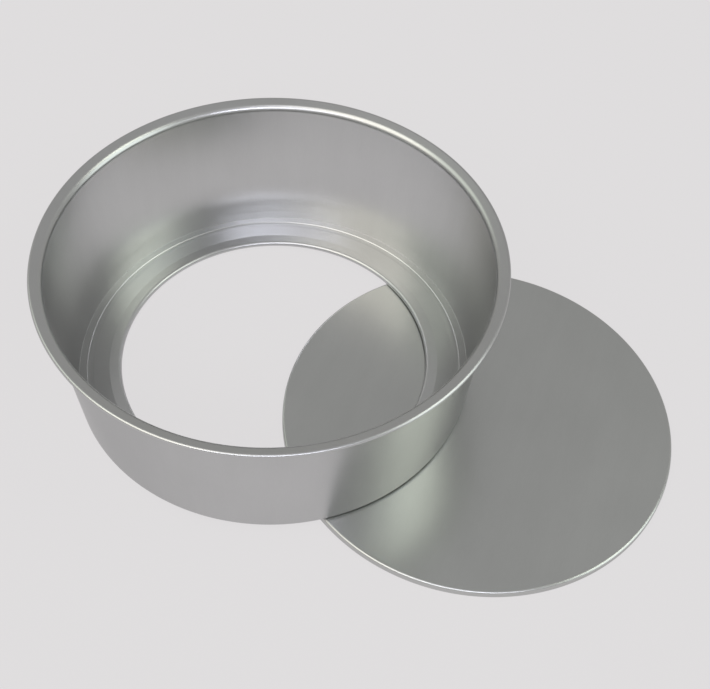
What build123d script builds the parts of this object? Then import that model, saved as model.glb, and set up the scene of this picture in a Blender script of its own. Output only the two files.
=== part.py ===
"""Round loose-base cake tin: a drawn ring with a folded rim and a formed ledge, and its loose base.

Millimetres, +Z up. The tin lies taken apart: the base is flat on the table, and the ring stands
with one side on the table and the other on the rim of the base, so it leans a little.
The origin is on the table under the middle of the whole part, with +X from the ring to the base.
Sections are drawn in the plane of X and Z, and revolved about Z.
"""
from build123d import *
import os
from math import asin, cos, degrees, radians, sin, tan

# Both pieces
sheet = 1.0                       # thickness of the metal

# Ring
rim_outside_diameter = 214.4      # over the edge of the folded rim
tin_height = 73.2                 # foot of the ring to the top of the rim
rim_edge_radius = 1.15            # outside, where the rim is folded under itself
rim_slope = 19.4                  # degrees, the rim climbs outwards
rim_flat = 2.8                    # straight stretch of the rim, along its slope
fold_length = 2.7                 # straight stretch of the layer folded under the rim
flare_radius = 3.5                # food side, where the wall opens out into the rim
wall_lean = 5.4                   # degrees from upright, wider at the top
corner_radius = 0.2               # food side, between the wall and the seat
seat_height = 0.3                 # of the flat seat beside the wall, over the foot of the step
step_diameter = 180.5             # where the step down from the seat ends
step_slope = 40.0                 # degrees, the step falls towards the hole
ledge_slope = 8.0                 # degrees, the outer zone of the ledge climbs towards the hole
outer_zone_share = 0.65           # of the ledge's width, from the step to the sharp crease
hole_diameter = 148.0             # clear hole, inside the turned edge
turned_edge_radius = 1.6          # food side, where the ledge turns down into the hole
turned_edge_clearance = 0.5       # end of the turned edge above the foot of the ring

# Loose base
base_diameter = 185.5             # goes in over the seat with room all round
base_height = 3.3                 # over the turned-down edge
base_edge_radius = 1.2            # outside, where the base turns down

# Where the two pieces lie
centre_distance = 103.3           # middle of the ring to middle of the base, along the table
rest_gap = 0.15                   # between the leaning ring and the base under it

# A full-circle arc is heavy to mesh, so only the flare is of true arcs
flare_arcs = 2
fold_strips = 6                   # straight strips round the folded edge of the rim
bend_strips = 3                   # straight strips round every other bend

# Rim: the folded edge, the straight stretch that climbs to it, and the flare below
rim_angle = radians(rim_slope)
edge_x = rim_outside_diameter / 2 - rim_edge_radius
edge_z = tin_height - rim_edge_radius
flare_drop = flare_radius - rim_edge_radius
flare_x = edge_x - rim_flat * cos(rim_angle) + flare_drop * sin(rim_angle)
flare_z = edge_z - rim_flat * sin(rim_angle) - flare_drop * cos(rim_angle)
wall_top_x = flare_x - flare_radius * cos(radians(wall_lean))
wall_top_z = flare_z + flare_radius * sin(radians(wall_lean))

# Step down from the seat, with its underside as the foot of the ring
step_x = step_diameter / 2
step_z = sheet * cos(radians((step_slope - ledge_slope) / 2)) / cos(
    radians((step_slope + ledge_slope) / 2))
seat_x = step_x + seat_height / tan(radians(step_slope))
seat_z = step_z + seat_height
corner_z = seat_z + corner_radius
corner_x = wall_top_x - (wall_top_z - corner_z) * tan(radians(wall_lean)) - corner_radius / cos(
    radians(wall_lean))

# Ledge
hole_radius = hole_diameter / 2
crease_x = step_x - outer_zone_share * (step_x - hole_radius)
ledge_z = step_z + (step_x - crease_x) * tan(radians(ledge_slope))

# Loose base
base_radius = base_diameter / 2
base_flat_radius = base_radius - base_edge_radius


def behind(point, first_slope, second_slope):
    """Back of the sheet at a crease between two stretches that climb outwards by these degrees."""
    middle = radians((first_slope + second_slope) / 2)
    reach = sheet / cos(radians((second_slope - first_slope) / 2))
    return point[0] + reach * sin(middle), point[1] - reach * cos(middle)


# The ring stands on the back of the foot of the step
foot_circle = behind((step_x, step_z), -ledge_slope, step_slope)[0]

# The foot of the leaning ring crosses the flat of the base at this distance from the ring's middle
lean_x = (centre_distance**2 + foot_circle**2 - base_flat_radius**2) / (2 * centre_distance)
ring_tilt = degrees(asin((base_height + rest_gap) / (foot_circle + lean_x)))


def bend(centre, radius, start, turn, strips=bend_strips):
    """Points round a bend, from the angle `start` in degrees through `turn`."""
    angles = [radians(start + turn * strip / strips) for strip in range(strips + 1)]
    return [(centre[0] + radius * cos(angle), centre[1] + radius * sin(angle)) for angle in angles]


def make_ring():
    """Ring standing level on its foot, centred on Z."""
    turned_edge = (hole_radius + turned_edge_radius, ledge_z - turned_edge_radius)
    corner = (corner_x, corner_z)
    flare = (flare_x, flare_z)
    edge = (edge_x, edge_z)
    flare_end = 90 + rim_slope
    flare_turn = flare_end - (180 - wall_lean)
    fold_x = fold_length * cos(rim_angle)
    fold_z = fold_length * sin(rim_angle)
    under_edge = bend(edge, rim_edge_radius, flare_end, -180, fold_strips)
    inside_fold = bend(edge, rim_edge_radius - sheet, flare_end - 180, 180)

    ledge_and_wall = Polyline(
        (hole_radius, turned_edge_clearance),
        *bend(turned_edge, turned_edge_radius, 180, -90),
        (crease_x, ledge_z),
        (step_x, step_z),
        (seat_x, seat_z),
        *bend(corner, corner_radius, -90, 90 - wall_lean),
        (wall_top_x, wall_top_z),
    )
    flare_steps = [
        CenterArc(flare, flare_radius, 180 - wall_lean + arc * flare_turn / flare_arcs,
                  flare_turn / flare_arcs)
        for arc in range(flare_arcs)
    ]
    rim_and_back = Polyline(
        flare_steps[-1] @ 1,
        *under_edge,
        (under_edge[-1][0] - fold_x, under_edge[-1][1] - fold_z),
        (inside_fold[0][0] - fold_x, inside_fold[0][1] - fold_z),
        *inside_fold,
        *bend(flare, flare_radius - sheet, flare_end, -flare_turn),
        *bend(corner, corner_radius + sheet, -wall_lean, wall_lean - 90),
        behind((seat_x, seat_z), step_slope, 0),
        behind((step_x, step_z), -ledge_slope, step_slope),
        behind((crease_x, ledge_z), 0, -ledge_slope),
        (hole_radius + sheet, ledge_z - sheet),
        (hole_radius + sheet, turned_edge_clearance),
        (hole_radius, turned_edge_clearance),
    )
    outline = [*ledge_and_wall.edges(), *flare_steps, *rim_and_back.edges()]
    return revolve(Plane.XZ * make_face(outline), axis=Axis.Z, clean=False)


def make_base():
    """Base lying on its turned-down edge, centred on Z."""
    edge = (base_flat_radius, base_height - base_edge_radius)
    with BuildSketch(Plane.XZ) as section:
        Polygon(
            (0, base_height),
            *bend(edge, base_edge_radius, 90, -90),
            (base_radius, 0),
            (base_radius - sheet, 0),
            (base_radius - sheet, base_height - sheet),
            (0, base_height - sheet),
            align=None,
        )
    return revolve(section.sketch, axis=Axis.Z, clean=False)


def lie(ring, base):
    """Both pieces as they lie on the table, moved to the middle of the whole part."""
    tilt = radians(ring_tilt)
    leaning = Pos(0, 0, foot_circle * sin(tilt)) * Rot(0, -ring_tilt, 0) * ring
    beside = Pos(centre_distance, 0, 0) * base
    ring_end = -edge_x * cos(tilt) - edge_z * sin(tilt) - rim_edge_radius
    base_end = centre_distance + base_radius
    to_middle = Pos(-(ring_end + base_end) / 2, 0, 0)
    return to_middle * leaning, to_middle * beside


ring_at_rest, base_at_rest = lie(make_ring(), make_base())
nodes = {"tin_ring": ring_at_rest, "loose_base": base_at_rest}

os.makedirs("parts", exist_ok=True)
for name, solid in nodes.items():
    export_step(solid, f"parts/{name}.step")

print(f"wall beside the seat {corner_x:.2f}, foot circle {foot_circle:.2f}, tilt {ring_tilt:.3f}")
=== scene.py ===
"""Looks of the round cake tin: fine meshes of both pieces, satin aluminium, a pale floor, soft light.

Sizes are in millimetres and repeat those of the part's source. Each piece is turned about its own
Z axis, and then placed in the row frame, in metres, over the solid that it stands for.
"""
from math import asin, ceil, cos, hypot, pi, radians, sin, tan

import bmesh
import bpy
from mathutils import Matrix, Vector


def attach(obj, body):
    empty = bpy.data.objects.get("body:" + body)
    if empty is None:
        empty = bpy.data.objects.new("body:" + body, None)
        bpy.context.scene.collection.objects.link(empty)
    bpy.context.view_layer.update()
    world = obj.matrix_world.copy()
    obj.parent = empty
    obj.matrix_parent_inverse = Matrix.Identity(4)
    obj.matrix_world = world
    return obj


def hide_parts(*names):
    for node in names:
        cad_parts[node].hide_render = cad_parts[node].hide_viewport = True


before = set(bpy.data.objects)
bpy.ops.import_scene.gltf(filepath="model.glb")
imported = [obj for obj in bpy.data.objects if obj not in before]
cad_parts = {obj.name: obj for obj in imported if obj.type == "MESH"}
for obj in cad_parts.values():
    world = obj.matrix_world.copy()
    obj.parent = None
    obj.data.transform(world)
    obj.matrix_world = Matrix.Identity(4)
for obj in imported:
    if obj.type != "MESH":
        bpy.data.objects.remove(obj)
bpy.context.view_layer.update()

MILLIMETRE = 0.001                # in metres

# Ring
sheet = 1.0                       # thickness of the metal, of the base too
rim_outside_diameter = 214.4
tin_height = 73.2
rim_edge_radius = 1.15
rim_slope = 19.4                  # degrees, the rim climbs outwards
rim_flat = 2.8                    # straight stretch of the rim, along its slope
fold_length = 2.7                 # straight stretch of the layer folded under the rim
flare_radius = 3.5
wall_lean = 5.4                   # degrees from upright, wider at the top
corner_radius = 0.2
seat_height = 0.3
step_diameter = 180.5
step_slope = 40.0                 # degrees, the step falls towards the hole
ledge_slope = 8.0                 # degrees, the outer zone of the ledge climbs towards the hole
outer_zone_share = 0.65           # of the ledge's width, from the step to the crease
hole_diameter = 148.0
turned_edge_radius = 1.6
turned_edge_clearance = 0.5

# Base, and where the two pieces lie
base_diameter = 185.5
base_height = 3.3
base_edge_radius = 1.2
centre_distance = 103.3
rest_gap = 0.15

# Food side at the bottom of the ring: two shallow forms that the solid, flat there, doesn't have
seat_fall = 0.42                  # of the seat, from the step to the wall
dip_width = 3.0                   # of the ledge's dip, from the foot of the step
dip_depth = 0.05                  # of its guide point, below the foot of the step
dip_reach = 1.2                   # of its guide point, from the foot of the step

# Fineness of the meshes
round_steps = 360                 # round the axis
arc_step = 6.0                    # degrees of a bend
dip_steps = 6                     # along the dip
straight_step = 4.0               # along a straight stretch
edge_support = 0.12               # from each end of a straight stretch, to keep it flat
sharp_angle = 30.0                # degrees, above which an edge is shaded as a sharp one

# Metal: noise is given in features per metre
cloud_scale = 22.0
streak_scale = 140.0
grain_scale = 2200.0
streak_share = 0.5                # beside a full share of cloud
grain_share = 0.4                 # in the tone only
marks_range = 0.4, 1.1            # cloud and streaks together
grained_range = 0.5, 1.4          # the same with the grain
roughness_range = 0.278, 0.295
relief_strength = 0.1
relief_height = 0.0001            # metres, of a full step of the marks
edge_tint = (0.75, 0.75, 0.75, 1)

# Floor, in metres
floor_half = 4.0
floor_drop = 0.0002               # below the table plane, so that the two don't share it
paper_colour = (0.73, 0.715, 0.722, 1)
paper_glow = 1.02
paper_glow_share = 0.92           # the rest is lit by the lamps, and keeps the shadow

# Camera: angles in degrees, lengths in metres
camera_aim = Vector((-0.00966, 0.02339, 0))
camera_azimuth = -74.93
camera_elevation = 51.71
camera_roll = 4.74
camera_distance = 0.645
camera_lens = 65.67               # millimetres
camera_far_end = 20.0

# Lamps and room
lamp_distance = 3.0               # metres
room_low = (0.43, 0.43, 0.41, 1)
room_high = (0.43, 0.43, 0.43, 1)
room_high_from = 0.9              # height in a room of radius 1

# Sizes that follow from those above, as in the part's source
rim_angle = radians(rim_slope)
lean_angle = radians(wall_lean)
edge_x = rim_outside_diameter / 2 - rim_edge_radius
edge_z = tin_height - rim_edge_radius
flare_drop = flare_radius - rim_edge_radius
flare_x = edge_x - rim_flat * cos(rim_angle) + flare_drop * sin(rim_angle)
flare_z = edge_z - rim_flat * sin(rim_angle) - flare_drop * cos(rim_angle)
wall_top_x = flare_x - flare_radius * cos(lean_angle)
wall_top_z = flare_z + flare_radius * sin(lean_angle)
step_x = step_diameter / 2
step_z = sheet * cos(radians((step_slope - ledge_slope) / 2)) / cos(
    radians((step_slope + ledge_slope) / 2))
seat_x = step_x + seat_height / tan(radians(step_slope))
seat_z = step_z + seat_height
corner_z = seat_z + corner_radius
corner_x = wall_top_x - (wall_top_z - corner_z) * tan(lean_angle) - corner_radius / cos(lean_angle)
hole_radius = hole_diameter / 2
crease_x = step_x - outer_zone_share * (step_x - hole_radius)
ledge_z = step_z + (step_x - crease_x) * tan(radians(ledge_slope))
base_radius = base_diameter / 2
base_flat_radius = base_radius - base_edge_radius


def behind(point, first_slope, second_slope):
    """Back of the sheet at a crease between two stretches that climb outwards by these degrees."""
    middle = radians((first_slope + second_slope) / 2)
    reach = sheet / cos(radians((second_slope - first_slope) / 2))
    return point[0] + reach * sin(middle), point[1] - reach * cos(middle)


foot_circle = behind((step_x, step_z), -ledge_slope, step_slope)[0]
lean_x = (centre_distance**2 + foot_circle**2 - base_flat_radius**2) / (2 * centre_distance)
ring_tilt = asin((base_height + rest_gap) / (foot_circle + lean_x))


def bend(centre, radius, start, turn):
    """Points round a bend, from the angle `start` in degrees through `turn`."""
    steps = ceil(abs(turn) / arc_step)
    angles = [radians(start + turn * step / steps) for step in range(steps + 1)]
    return [(centre[0] + radius * cos(angle), centre[1] + radius * sin(angle)) for angle in angles]


def eased(start, guide, end, steps):
    """Points from start to end along a curve whose two ends are in line with a guide point."""
    points = []
    for step in range(steps + 1):
        share = step / steps
        weights = (1 - share)**2, 2 * share * (1 - share), share**2
        points.append(tuple(
            sum(weight * point[axis] for weight, point in zip(weights, (start, guide, end)))
            for axis in range(2)
        ))
    return points


def filled(corners):
    """The same line with points added along its straight stretches, and close to their ends."""
    points = [corners[0]]
    for (x0, z0), (x1, z1) in zip(corners, corners[1:]):
        length = hypot(x1 - x0, z1 - z0)
        if length > 4 * edge_support:
            steps = ceil(length / straight_step)
            shares = [edge_support / length, *(step / steps for step in range(1, steps))]
            shares.append(1 - edge_support / length)
            points += [(x0 + (x1 - x0) * share, z0 + (z1 - z0) * share) for share in shares]
        points.append((x1, z1))
    return points


def add_object(name, data):
    """New object of a mesh, a lamp or a camera, in the scene."""
    added = bpy.data.objects.new(name, data)
    bpy.context.scene.collection.objects.link(added)
    return added


def turned(name, outline, closed):
    """Mesh of an outline turned about Z; an open outline starts and ends on the axis."""
    metal = bmesh.new()
    turns = [2 * pi * step / round_steps for step in range(round_steps)]
    circles = []
    for x, z in outline:
        height = z * MILLIMETRE
        if x == 0:
            circles.append([metal.verts.new((0, 0, height))])
        else:
            circles.append([
                metal.verts.new((x * cos(turn) * MILLIMETRE, x * sin(turn) * MILLIMETRE, height))
                for turn in turns
            ])
    pairs = list(zip(circles, circles[1:]))
    if closed:
        pairs.append((circles[-1], circles[0]))
    for first, second in pairs:
        for step in range(round_steps):
            after = (step + 1) % round_steps
            corners = [first[step % len(first)], first[after % len(first)],
                       second[after % len(second)], second[step % len(second)]]
            metal.faces.new(list(dict.fromkeys(corners)))
    bmesh.ops.recalc_face_normals(metal, faces=metal.faces)
    mesh = bpy.data.meshes.new(name)
    metal.to_mesh(mesh)
    metal.free()
    mesh.shade_smooth()
    mesh.set_sharp_from_angle(angle=radians(sharp_angle))
    return add_object(name, mesh)


def ring_outline():
    """Section of the ring: up the food side, over the rim, round its fold, and down the back."""
    turned_edge = (hole_radius + turned_edge_radius, ledge_z - turned_edge_radius)
    step_foot = (step_x, step_z)
    dip_start = (step_x - dip_width, step_z + dip_width * tan(radians(ledge_slope)))
    dip_guide = (step_x - dip_reach, step_z - dip_depth)
    food_corner = (corner_x - seat_fall * tan(lean_angle), corner_z - seat_fall)
    flare = (flare_x, flare_z)
    edge = (edge_x, edge_z)
    flare_end = 90 + rim_slope
    fold_x = fold_length * cos(rim_angle)
    fold_z = fold_length * sin(rim_angle)
    under_edge = bend(edge, rim_edge_radius, flare_end, -180)
    inside_fold = bend(edge, rim_edge_radius - sheet, flare_end - 180, 180)
    return filled([
        (hole_radius, turned_edge_clearance),
        *bend(turned_edge, turned_edge_radius, 180, -90),
        (crease_x, ledge_z),
        *eased(dip_start, dip_guide, step_foot, dip_steps),
        (seat_x, seat_z),
        *bend(food_corner, corner_radius, -90, 90 - wall_lean),
        *bend(flare, flare_radius, 180 - wall_lean, flare_end - 180 + wall_lean),
        *under_edge,
        (under_edge[-1][0] - fold_x, under_edge[-1][1] - fold_z),
        (inside_fold[0][0] - fold_x, inside_fold[0][1] - fold_z),
        *inside_fold,
        *bend(flare, flare_radius - sheet, flare_end, 180 - wall_lean - flare_end),
        *bend((corner_x, corner_z), corner_radius + sheet, -wall_lean, wall_lean - 90),
        behind((seat_x, seat_z), step_slope, 0),
        behind(step_foot, -ledge_slope, step_slope),
        behind((crease_x, ledge_z), 0, -ledge_slope),
        *bend(turned_edge, turned_edge_radius - sheet, 90, 90),
        (hole_radius + sheet, turned_edge_clearance),
        (hole_radius, turned_edge_clearance),
    ])[:-1]


def base_outline():
    """Section of the base, from the middle of its top to the middle of its underside."""
    edge = (base_flat_radius, base_height - base_edge_radius)
    return filled([
        (0, base_height),
        *bend(edge, base_edge_radius, 90, -90),
        (base_radius, 0),
        (base_radius - sheet, 0),
        *bend(edge, base_edge_radius - sheet, 0, 90),
        (0, base_height - sheet),
    ])


def empty_tree(owner):
    """Node tree of a material or a world, with nothing in it."""
    owner.use_nodes = True
    owner.node_tree.nodes.clear()
    return owner.node_tree


def add_node(tree, kind, inputs=None, **settings):
    """Shader node with its settings, and its inputs by name or number, as values or as links."""
    node = tree.nodes.new(kind)
    for name, value in settings.items():
        setattr(node, name, value)
    for socket_name, value in (inputs or {}).items():
        socket = node.inputs[socket_name]
        if isinstance(value, bpy.types.NodeSocket):
            tree.links.new(value, socket)
        else:
            socket.default_value = value
    return node


def noise(tree, vector, scale, detail):
    """Noise from 0 to 1 over the points of a vector."""
    inputs = {"Vector": vector, "Scale": scale, "Detail": detail}
    return add_node(tree, "ShaderNodeTexNoise", inputs).outputs["Fac"]


def calculated(tree, operation, *values):
    """Result of a calculation with values or other nodes' outputs."""
    return add_node(tree, "ShaderNodeMath", dict(enumerate(values)), operation=operation).outputs[0]


def spread(tree, value, from_range, to_range=(0.0, 1.0)):
    """A value carried over from one range to another, and held inside it."""
    inputs = dict(enumerate((value, *from_range, *to_range)))
    return add_node(tree, "ShaderNodeMapRange", inputs).outputs["Result"]


def blended(tree, share, first, second):
    """Colour between two others."""
    return add_node(tree, "ShaderNodeMix", {0: share, 6: first, 7: second}, data_type="RGBA").outputs[2]


def aluminium(name, light_tone, dark_tone, drawn_scale):
    """Satin anodised aluminium, its streaks and grain drawn out along the axis of the small scale."""
    material = bpy.data.materials.new(name)
    tree = empty_tree(material)
    place = add_node(tree, "ShaderNodeTexCoord").outputs["Object"]
    drawn = add_node(tree, "ShaderNodeMapping", {"Vector": place, "Scale": drawn_scale}).outputs[0]
    cloud = noise(tree, place, cloud_scale, 3.0)
    streaks = noise(tree, drawn, streak_scale, 3.0)
    grain = noise(tree, drawn, grain_scale, 2.0)
    marks = calculated(tree, "MULTIPLY_ADD", streaks, streak_share, cloud)
    grained = calculated(tree, "MULTIPLY_ADD", grain, grain_share, marks)
    relief = add_node(tree, "ShaderNodeBump", {
        "Strength": relief_strength, "Distance": relief_height, "Height": marks})
    metal = add_node(tree, "ShaderNodeBsdfPrincipled", {
        "Base Color": blended(tree, spread(tree, grained, grained_range), dark_tone, light_tone),
        "Metallic": 1.0,
        "Roughness": spread(tree, marks, marks_range, roughness_range),
        "Specular Tint": edge_tint,
        "Normal": relief.outputs["Normal"],
    })
    add_node(tree, "ShaderNodeOutputMaterial", {"Surface": metal.outputs["BSDF"]})
    return material


def paper(name):
    """Matt paper, which cameras and reflections see in its own even colour, with a little shadow."""
    material = bpy.data.materials.new(name)
    tree = empty_tree(material)
    matt = add_node(tree, "ShaderNodeBsdfDiffuse", {"Color": paper_colour})
    even = add_node(tree, "ShaderNodeEmission", {"Color": paper_colour, "Strength": paper_glow})
    rays = add_node(tree, "ShaderNodeLightPath").outputs
    seen = calculated(tree, "MAXIMUM", rays["Is Camera Ray"], rays["Is Glossy Ray"])
    seen = calculated(tree, "MAXIMUM", seen, rays["Is Transmission Ray"])
    share = calculated(tree, "MULTIPLY", seen, paper_glow_share)
    face = add_node(tree, "ShaderNodeMixShader", {
        0: share, 1: matt.outputs["BSDF"], 2: even.outputs["Emission"]})
    add_node(tree, "ShaderNodeOutputMaterial", {"Surface": face.outputs["Shader"]})
    return material


def direction(azimuth, elevation):
    """Unit vector that points this way, given in degrees."""
    level = cos(radians(elevation))
    return Vector((
        level * cos(radians(azimuth)), level * sin(radians(azimuth)), sin(radians(elevation))))


def softbox(name, azimuth, elevation, wide, tall, brightness, colour):
    """Area lamp that faces the part, seen from it as so many degrees wide and tall.

    Its brightness is what a mirror would show, with 1 as white.
    """
    width = 2 * lamp_distance * tan(radians(wide / 2))
    height = 2 * lamp_distance * tan(radians(tall / 2))
    lamp = bpy.data.lights.new(name, "AREA")
    lamp.shape = "RECTANGLE"
    lamp.size = width
    lamp.size_y = height
    lamp.energy = brightness * pi * width * height
    lamp.color = colour
    towards = direction(azimuth, elevation)
    box = add_object(name, lamp)
    box.location = towards * lamp_distance
    box.rotation_euler = towards.to_track_quat("Z", "Y").to_euler()


# Both pieces, where they lie as in the part's source
ring_end = -edge_x * cos(ring_tilt) - edge_z * sin(ring_tilt) - rim_edge_radius
part_middle = (ring_end + centre_distance + base_radius) / 2
ring_rise = foot_circle * sin(ring_tilt)
ring = turned("ring_fine", ring_outline(), closed=True)
ring.matrix_world = Matrix.Translation((-part_middle * MILLIMETRE, 0, ring_rise * MILLIMETRE)) @ (
    Matrix.Rotation(-ring_tilt, 4, "Y"))
base = turned("base_fine", base_outline(), closed=False)
base.matrix_world = Matrix.Translation(((centre_distance - part_middle) * MILLIMETRE, 0, 0))

ring_metal = aluminium(
    "ring_metal", (0.59, 0.59, 0.59, 1), (0.535, 0.535, 0.535, 1), drawn_scale=(1, 1, 0.06))
base_metal = aluminium(
    "base_metal", (0.59, 0.595, 0.585, 1), (0.535, 0.54, 0.53, 1), drawn_scale=(1, 0.12, 1))

for piece, node, body, slot, metal in (
    (ring, "tin_ring", "ring", "ring_aluminium", ring_metal),
    (base, "loose_base", "base", "base_aluminium", base_metal),
):
    piece.data.materials.append(metal)
    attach(piece, body)
    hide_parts(node)
    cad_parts[node].data.materials.clear()
    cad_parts[node].data.materials.append(metal)

# Floor
floor_mesh = bpy.data.meshes.new("floor")
floor_mesh.from_pydata(
    [(x * floor_half, y * floor_half, 0) for x, y in ((-1, -1), (1, -1), (1, 1), (-1, 1))],
    [], [(0, 1, 2, 3)])
floor_mesh.materials.append(paper("paper"))
floor = add_object("floor", floor_mesh)
floor.location.z = -floor_drop

# Camera
back = direction(camera_azimuth, camera_elevation)
level_right = Vector((0, 0, 1)).cross(back).normalized()
level_up = back.cross(level_right)
roll = radians(camera_roll)
right = cos(roll) * level_right + sin(roll) * level_up
up = back.cross(right)
camera_data = bpy.data.cameras.new("camera")
camera_data.lens = camera_lens
camera_data.clip_end = camera_far_end
camera = add_object("camera", camera_data)
camera.matrix_world = Matrix.Translation(camera_aim + camera_distance * back) @ (
    Matrix((right, up, back)).transposed().to_4x4())
bpy.context.scene.camera = camera

# Lamps: azimuth, elevation, width and height in degrees, brightness, colour
softbox("key_right", -61, 40, 27, 11, 4.8, (0.98, 1.0, 1.12))
softbox("key_left", -94, 40, 24, 11, 3.2, (1.0, 1.0, 1.08))
softbox("high_box", -84, 67, 16, 24, 0.8, (0.97, 1.0, 1.1))
softbox("left_window", -131, 49, 39, 50, 1.35, (1.03, 1.0, 0.89))
softbox("left_box", -177, 40, 37, 39, 0.61, (0.9, 1.0, 0.84))
softbox("side_box", 18, 54, 25, 15, 2.35, (0.93, 1.0, 0.85))
softbox("low_box", 2, 23, 41, 42, 1.3, (0.89, 1.0, 0.95))

# World: a plain grey room, a little warmer near the horizon
world = bpy.data.worlds.new("room")
bpy.context.scene.world = world
room = empty_tree(world)
looked_at = add_node(room, "ShaderNodeTexCoord").outputs["Generated"]
height = add_node(room, "ShaderNodeSeparateXYZ", {"Vector": looked_at}).outputs["Z"]
grey = blended(room, spread(room, height, (0.0, room_high_from)), room_low, room_high)
backdrop = add_node(room, "ShaderNodeBackground", {"Color": grey, "Strength": 1.0})
add_node(room, "ShaderNodeOutputWorld", {"Surface": backdrop.outputs["Background"]})

bpy.context.scene.view_settings.view_transform = "Standard"
